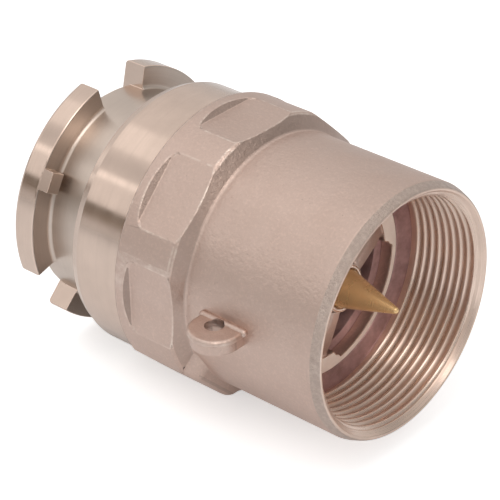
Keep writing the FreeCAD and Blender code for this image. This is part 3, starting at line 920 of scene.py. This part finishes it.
class COUPLING_OT_stem_guide(bpy.types.Operator):
    """Stem guide: flat ring, three pads and arms, and the hub."""

    bl_idname = "coupling.stem_guide"
    bl_label = "Stem guide"

    def execute(self, context):
        seat, front, inner_r = GUIDE_SEAT, GUIDE_SEAT - GUIDE_THICKNESS, 33.9
        hub_front, hub_back, first_arm = 27.0, 52.0, 71
        guide = lathe("stem_guide_ring", [(front, inner_r), (front, GUIDE_R), (seat, GUIDE_R),
                                          (seat, inner_r)])
        pads = turned_copies(self.pad(front, seat), 3, first_arm)
        arms = turned_copies(self.arm(front, seat, hub_front), 3, first_arm)
        for arm in arms:
            soften_edges(arm, 2.2, segments=6)
        unite(guide, *pads, *arms)
        core_start, core_end, core_r = hub_front - 6, hub_back - 4, 8.2
        core = [(core_start, 0), (core_start, core_r), (core_end, core_r), (core_end, 0)]
        cut(guide, lathe("hub_core", core, closed=False, steps=96))
        clip_back, clip_front, bush_front = hub_back - 1.2, hub_back - 2.4, hub_front + 8
        mouth_r, bush_r, clip_r, hub_r = 7.65, 9.4, 10.2, 12.5
        unite(guide, lathe("hub", [
            (hub_front, mouth_r), (hub_front, 8.6), (hub_front + 0.5, 9.1), (hub_front + 6, 10.5),
            (hub_front + 11, hub_r), (hub_back, hub_r), (hub_back, bush_r), (clip_back, bush_r),
            (clip_back, clip_r), (clip_front, clip_r), (clip_front, bush_r), (bush_front, bush_r),
            (bush_front, mouth_r),
        ], steps=96))
        # The bevels get the brighter copy of turned steel, a painted highlight.
        soften_edges(guide, 0.4, angle=35, looks=("guide", "turned_edge_painted_highlight"))
        smooth(guide, 35, weighted=True)
        refinish(guide, "guide_cast", lambda p, n: p.x < -33.8 and radius_of(p) < 36 or
                 9.6 < radius_of(p) < 29.6)
        finish_piece(guide, "guide", "guide_steel", BODY, "stem_guide")
        return {"FINISHED"}

    def pad(self, front, seat):
        """Land on the ring's inner side, with a notch at each edge."""
        inner, outer = 29.8, 34.6
        half = [(13.2, inner), (14.4, inner + 0.9), (15.2, 31.6), (18.6, 33.0), (19.8, outer)]
        points = [(-angle, radius) for angle, radius in reversed(half)]
        points += [(angle, inner) for angle in (-8, -4, 0, 4, 8)] + half
        points += [(angle, outer) for angle in (13, 7, 0, -7, -13)]
        turns = [(math.radians(angle), radius) for angle, radius in points]
        flat = [(radius * math.cos(angle), radius * math.sin(angle)) for angle, radius in turns]
        pad = prism("pad", flat, front, seat)
        pad.rotation_euler = (0, -math.pi / 2, 0)
        return settle(pad)

    def arm(self, front, seat, hub_front):
        """Web from a pad to the hub, rising towards the mouth and narrowing."""
        side = [
            (front + 0.2, 31.5), (seat, 31.5), (seat, 26), (seat - 0.6, 22), (hub_front + 11, 8.4),
            (hub_front + 2.2, 8.4), (hub_front + 3.2, 14.0), (front - 1.2, 24.0),
            (front + 0.2, 28.4),
        ]
        front_side = side[:1] + side[5:]
        arm = draw_profile("arm", side)
        select_all()
        bpy.ops.mesh.edge_face_add()
        bpy.ops.transform.translate(value=(0, -0.5 * MM, 0))
        extrude((0, MM, 0))
        face_outwards()
        for radius in sorted({radius for depth, radius in side}):
            width = 7.0 + 6.0 * radius / 33.9
            pick_vertices(arm, lambda p: abs(p.z - radius) < 0.01)
            stretch(1, width, 1)
        pick_vertices(arm, lambda p: any(math.hypot(p.x + depth, p.z - radius) < 0.05
                                         for depth, radius in front_side))
        stretch(1, 0.72, 1)
        object_mode()
        return arm


class COUPLING_OT_stem(bpy.types.Operator):
    """Brass stem with a conical tip."""

    bl_idname = "coupling.stem"
    bl_label = "Stem"

    def execute(self, context):
        radius, base = sizes().stem_r / MM, 26.4
        tip, tip_r, shank_start, shank_r, end = STEM_TIP, 1.3, 118.0, 5.0, 135.1
        outline = [(tip + tip_r - tip_r * cos, tip_r * sin)
                   for sin, cos in bends(8, math.radians(74))]
        outline += [(base - 0.3, radius - 0.1), (base, radius), (shank_start, radius)]
        outline += [(shank_start, shank_r), (end, shank_r), (end, 0)]
        stem = lathe("brass_stem", outline, closed=False, steps=128)
        smooth(stem)
        finish_piece(stem, "brass", "stem_brass", POPPET, "stem")
        return {"FINISHED"}


class COUPLING_OT_spring(bpy.types.Operator):
    """Main spring: a round wire wound about the stem."""

    bl_idname = "coupling.spring"
    bl_label = "Main spring"

    def execute(self, context):
        low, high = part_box("main_spring")
        wire = 1.65 * MM
        middle_r = high.z - 1.7 * MM
        start, end = high.x - wire, low.x + wire
        turns, sides, steps = 7, 16, 48
        begin()
        bpy.ops.mesh.primitive_circle_add(vertices=sides, radius=wire,
                                          location=(start, 0, middle_r),
                                          rotation=(math.pi / 2, 0, 0))
        spring = settle(bpy.context.object)
        spring.name = "main_coil"
        modify(spring, "SCREW", axis="X", angle=2 * math.pi, screw_offset=(end - start) / turns,
               iterations=turns, steps=steps, render_steps=steps, use_normal_calculate=True)
        edit(spring)
        select_all()
        bpy.ops.mesh.fill_holes(sides=sides)
        face_outwards()
        object_mode()
        smooth(spring, 60)
        spring.data.materials.append(finish("wire"))
        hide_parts("main_spring")
        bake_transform(spring)
        return {"FINISHED"}


class COUPLING_OT_poppet_face(bpy.types.Operator):
    """Plate that closes the nose, with its six countersunk screws."""

    bl_idname = "coupling.poppet_face"
    bl_label = "Poppet face"

    def execute(self, context):
        face, seal, plate_r = PLATE_FACE, PLATE_FACE - 3.7, 31.0
        plate = lathe("front_plate", [
            (face - 5.9, 0), (face - 5.9, 10.2), (face - 6.9, 10.2), (face - 6.9, 23.9),
            (seal, 23.9), (seal, plate_r), (face - 0.8, plate_r), (face - 0.25, 30.75),
            (face, 30.2), (face, 3.0), (face - 0.5, 2.2), (face - 1.4, 0),
        ], closed=False)
        cut(plate, *turned_copies(self.screw_seat(face), 6, 0))
        smooth(plate)
        finish_piece(plate, "turned", "machined_steel", POPPET, "seal_retainer")
        screws = join(turned_copies(self.screw(face), 6, 0), "plate_screws")
        smooth(screws)
        finish_piece(screws, "wire", "spring_steel", POPPET, "retainer_screws")
        return {"FINISHED"}

    def raised(self, piece):
        piece.location = (0, 0, 19.5 * MM)
        return settle(piece)

    def screw_seat(self, face):
        return self.raised(lathe("screw_seat", [
            (face - 9, 0), (face - 9, 2.05), (face - 2.05, 2.05), (face - 0.1, 4.05),
            (face + 1, 4.05), (face + 1, 0),
        ], closed=False, steps=48))

    def screw(self, face):
        """Countersunk head with a six-sided socket."""
        screw = lathe("screw", [
            (face - 15.3, 0), (face - 15.3, 2.0), (face - 2.1, 2.0), (face - 0.25, 3.85),
            (face - 0.12, 3.85), (face - 0.1, 3.6), (face - 0.1, 0),
        ], closed=False, steps=48)
        return self.raised(cut(screw, bar(6, 1.45, 3.6, (-face, 0, 0), ALONG_AXIS)))


class COUPLING_OT_frame_finishes(bpy.types.Operator):
    """Finishes of the pieces that keep the frame's own shape."""

    bl_idname = "coupling.frame_finishes"
    bl_label = "Frame finishes"

    def execute(self, context):
        table = {
            # The spring seats and sleeve, seen only in the bore's shade, get the dark inner finish:
            # painted shade.
            "inner": ("front_spring_seat", "rear_spring_seat", "stop_sleeve"),
            "turned": ("poppet",),
            "wire": ("bush_clip", "lock_washer", "stem_nut"),
            "bush": ("guide_bush",),
            "rubber": ("body_o_ring", "stem_o_ring", "poppet_seal"),
        }
        for name, nodes in table.items():
            for node in nodes:
                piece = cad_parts[node]
                piece.data.materials.clear()
                piece.data.materials.append(finish(name))
        return {"FINISHED"}


class COUPLING_OT_stage(bpy.types.Operator):
    """Floor, light and camera."""

    bl_idname = "coupling.stage"
    bl_label = "Stage"
    # Long strips along the part: (degrees round the axis from the top, level, warmth).
    STRIPS = (
        (-180, 0.5, 0), (-120, 0.5, 0), (-97, 0.62, 0), (-86, 0.62, 0), (-79, 0.3, 1),
        (-71, 0.2, 1), (-68.5, 0.92, 0), (-49, 0.95, 0), (-46.5, 1.4, 0), (-43, 1.3, 0),
        (-41, 0.76, 0), (-30, 0.72, 0), (-22, 0.84, 0), (-19, 1.1, 0), (3, 1.12, 0),
        (7, 0.88, 0), (40, 0.8, 0), (100, 0.62, 0), (180, 0.5, 0),
    )
    # What the mouth sees, times the streak: (height along MOUTH_UP, level, warmth).
    MOUTH = (
        (-1, 0.75, 0), (-0.6, 0.68, 0), (-0.3, 0.38, 0), (0.1, 0.26, 0), (0.3, 0.32, 0),
        (0.45, 0.52, 0), (0.64, 0.65, 0), (0.8, 1.0, 0), (1, 1.1, 0),
    )
    MOUTH_UP = (0, -0.27, 0.963)
    STREAK = ((-180, 1, 0), (-26, 1, 0), (-22, 3.3, 0), (-5, 3.3, 0), (2, 1, 0), (180, 1, 0))

    def execute(self, context):
        self.floor()
        self.world(context.scene)
        self.lamps()
        self.camera(context.scene)
        context.scene.view_settings.view_transform = "Standard"
        return {"FINISHED"}

    def floor(self):
        begin()
        height = CAD_BOX[0][2] - 0.0005
        bpy.ops.mesh.primitive_plane_add(size=6, location=(0, 0, height))
        floor = settle(bpy.context.object)
        floor.name = "floor"
        look = Nodes("floor")
        look.set(Base_Color=rgba(colours().floor), Roughness=0.9)
        path = look.add("ShaderNodeLightPath").outputs["Is Camera Ray"]
        glow = look.add("ShaderNodeEmission", {"Color": (1, 1, 1, 1), "Strength": 0.5})
        added = look.add("ShaderNodeAddShader", {0: look.shader.outputs[0], 1: glow.outputs[0]})
        shaders = {0: path, 1: look.shader.outputs[0], 2: added.outputs[0]}
        mixed = look.add("ShaderNodeMixShader", shaders)
        surface = look.tree.nodes["Material Output"].inputs["Surface"]
        look.tree.links.new(mixed.outputs[0], surface)
        floor.data.materials.append(look.material)

    def world(self, scene):
        """White to the camera; long soft strips along the part for its gloss."""
        world = bpy.data.worlds.new("studio")
        scene.world = world
        look = Tree(world)
        look.tree.nodes.clear()

        def ramp(value, low, high, levels):
            node = look.add("ShaderNodeValToRGB", {"Fac": look.spread(value, low, high)})
            places = [((place - low) / (high - low), level, warm) for place, level, warm in levels]
            self.ramp_stops(node, places)
            return node.outputs["Color"]

        def background(level, colour=(1, 1, 1, 1)):
            inputs = {"Color": colour, "Strength": level}
            return look.add("ShaderNodeBackground", inputs).outputs[0]

        def choose(share, first, second):
            inputs = {0: share, 1: first, 2: second}
            return look.add("ShaderNodeMixShader", inputs).outputs[0]

        direction = look.add("ShaderNodeTexCoord").outputs["Generated"]
        parts = look.add("ShaderNodeSeparateXYZ", {0: direction}).outputs
        turn = look.math("DEGREES", look.math("ARCTAN2", parts["Y"], parts["Z"]))
        inputs = {0: direction, 1: self.MOUTH_UP}
        height = look.add("ShaderNodeVectorMath", inputs, operation="DOT_PRODUCT").outputs["Value"]
        lit = look.mix(1.0, ramp(height, -1, 1, self.MOUTH), ramp(turn, -180, 180, self.STREAK),
                       "MULTIPLY")
        seen = look.mix(look.spread(parts["X"], 0.1, 0.5), ramp(turn, -180, 180, self.STRIPS), lit)
        rays = look.add("ShaderNodeLightPath").outputs
        light = choose(rays["Is Glossy Ray"], background(0.62), background(1.0, seen))
        shown = choose(rays["Is Camera Ray"], light, background(1.0))
        look.add("ShaderNodeOutputWorld", {"Surface": shown})

    def ramp_stops(self, ramp, levels):
        """Fills a colour ramp with (place, level, warmth) stops."""
        stops = ramp.color_ramp.elements
        while len(stops) > 1:
            stops.remove(stops[-1])
        for index, (place, level, warm) in enumerate(levels):
            stop = stops[0] if index == 0 else stops.new(place)
            stop.position = place
            stop.color = (level, level * (0.975 - 0.1 * warm), level * (0.95 - 0.2 * warm), 1)

    def lamps(self):
        self.softbox("softbox", (-0.25, -0.35, 0.9), 0.9, 0.6, 3)
        self.softbox("mouth_fill", (0.75, -0.25, 0.25), 0.3, 0.3, 1.6)

    def softbox(self, name, place, width, height, energy):
        begin()
        bpy.ops.object.light_add(type="AREA", location=place)
        lamp = bpy.context.object
        lamp.name = name
        lamp.data.shape = "RECTANGLE"
        lamp.data.size = width
        lamp.data.size_y = height
        lamp.data.energy = energy
        lamp.visible_glossy = False
        middle = Vector((-0.07, 0, 0))
        lamp.rotation_euler = (middle - lamp.location).to_track_quat("-Z", "Y").to_euler()

    def camera(self, scene):
        """The camera's place and turn were worked out from the photo's rings."""
        place = Vector((0.41377, -0.53456, 0.43503))
        right = Vector((0.74819, 0.66315, -0.02105))
        ahead = Vector((-0.57583, 0.63327, -0.5171)).normalized()
        up = right.cross(ahead).normalized()
        right = ahead.cross(up)
        bpy.ops.object.camera_add(location=place)
        camera = bpy.context.object
        turn = Matrix((right, up, -ahead)).transposed()
        camera.rotation_euler = turn.to_euler()
        camera.data.sensor_width = 36
        camera.data.lens = 167.31
        camera.data.clip_start = 0.01
        scene.camera = camera


class COUPLING_PT_panel(bpy.types.Panel):
    """Lists the coupling's pieces."""

    bl_label = "Dry break coupling"
    bl_idname = "COUPLING_PT_panel"
    bl_space_type = "VIEW_3D"
    bl_region_type = "UI"
    bl_category = "Coupling"

    def draw(self, context):
        for operator in OPERATORS:
            self.layout.operator(operator.bl_idname)
        for group in (context.scene.coupling_sizes, context.scene.coupling_colours):
            for name in group.__annotations__:
                self.layout.prop(group, name)


OPERATORS = (
    COUPLING_OT_cast_body,
    COUPLING_OT_pipe_thread,
    COUPLING_OT_bayonet_nose,
    COUPLING_OT_stem_guide,
    COUPLING_OT_stem,
    COUPLING_OT_spring,
    COUPLING_OT_poppet_face,
    COUPLING_OT_frame_finishes,
    COUPLING_OT_stage,
)
CLASSES = (CouplingSizes, CouplingColours) + OPERATORS + (COUPLING_PT_panel,)


def register():
    for item in CLASSES:
        bpy.utils.register_class(item)
    bpy.types.Scene.coupling_sizes = PointerProperty(type=CouplingSizes)
    bpy.types.Scene.coupling_colours = PointerProperty(type=CouplingColours)


def unregister():
    del bpy.types.Scene.coupling_sizes
    del bpy.types.Scene.coupling_colours
    for item in reversed(CLASSES):
        bpy.utils.unregister_class(item)


def main():
    register()
    for operator in OPERATORS:
        group, name = operator.bl_idname.split(".")
        getattr(getattr(bpy.ops, group), name)()


if __name__ == "__main__":
    main()
